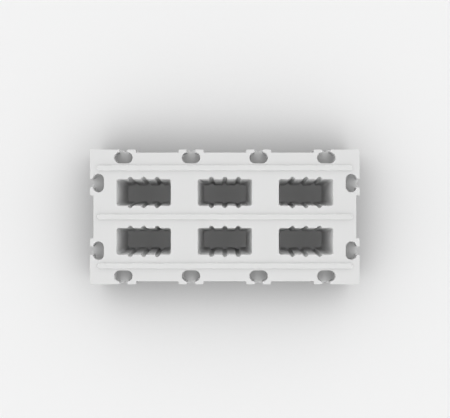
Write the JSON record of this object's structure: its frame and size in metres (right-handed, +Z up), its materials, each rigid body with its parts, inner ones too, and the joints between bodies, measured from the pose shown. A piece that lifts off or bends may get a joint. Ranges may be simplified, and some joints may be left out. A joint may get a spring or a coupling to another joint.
{
  "type": "dock pontoon section",
  "caption": "Flat white moulded float section of a sectional dock, underside up, with keyhole coupler pockets round its edge and fluted wells.",
  "frame": {"origin": "middle of the deck face, which the section lies on", "axes": "+X along the length, +Y across, +Z up, out of the underside with its wells and runners"},
  "size_m": [3, 1.5, 0.4],
  "materials": {
    "moulded_polyethylene": "white rotomoulded polyethylene with a soft satin skin"
  },
  "bodies": {
    "root": {"pontoon_shell": "moulded_polyethylene"}
  },
  "joints": []
}
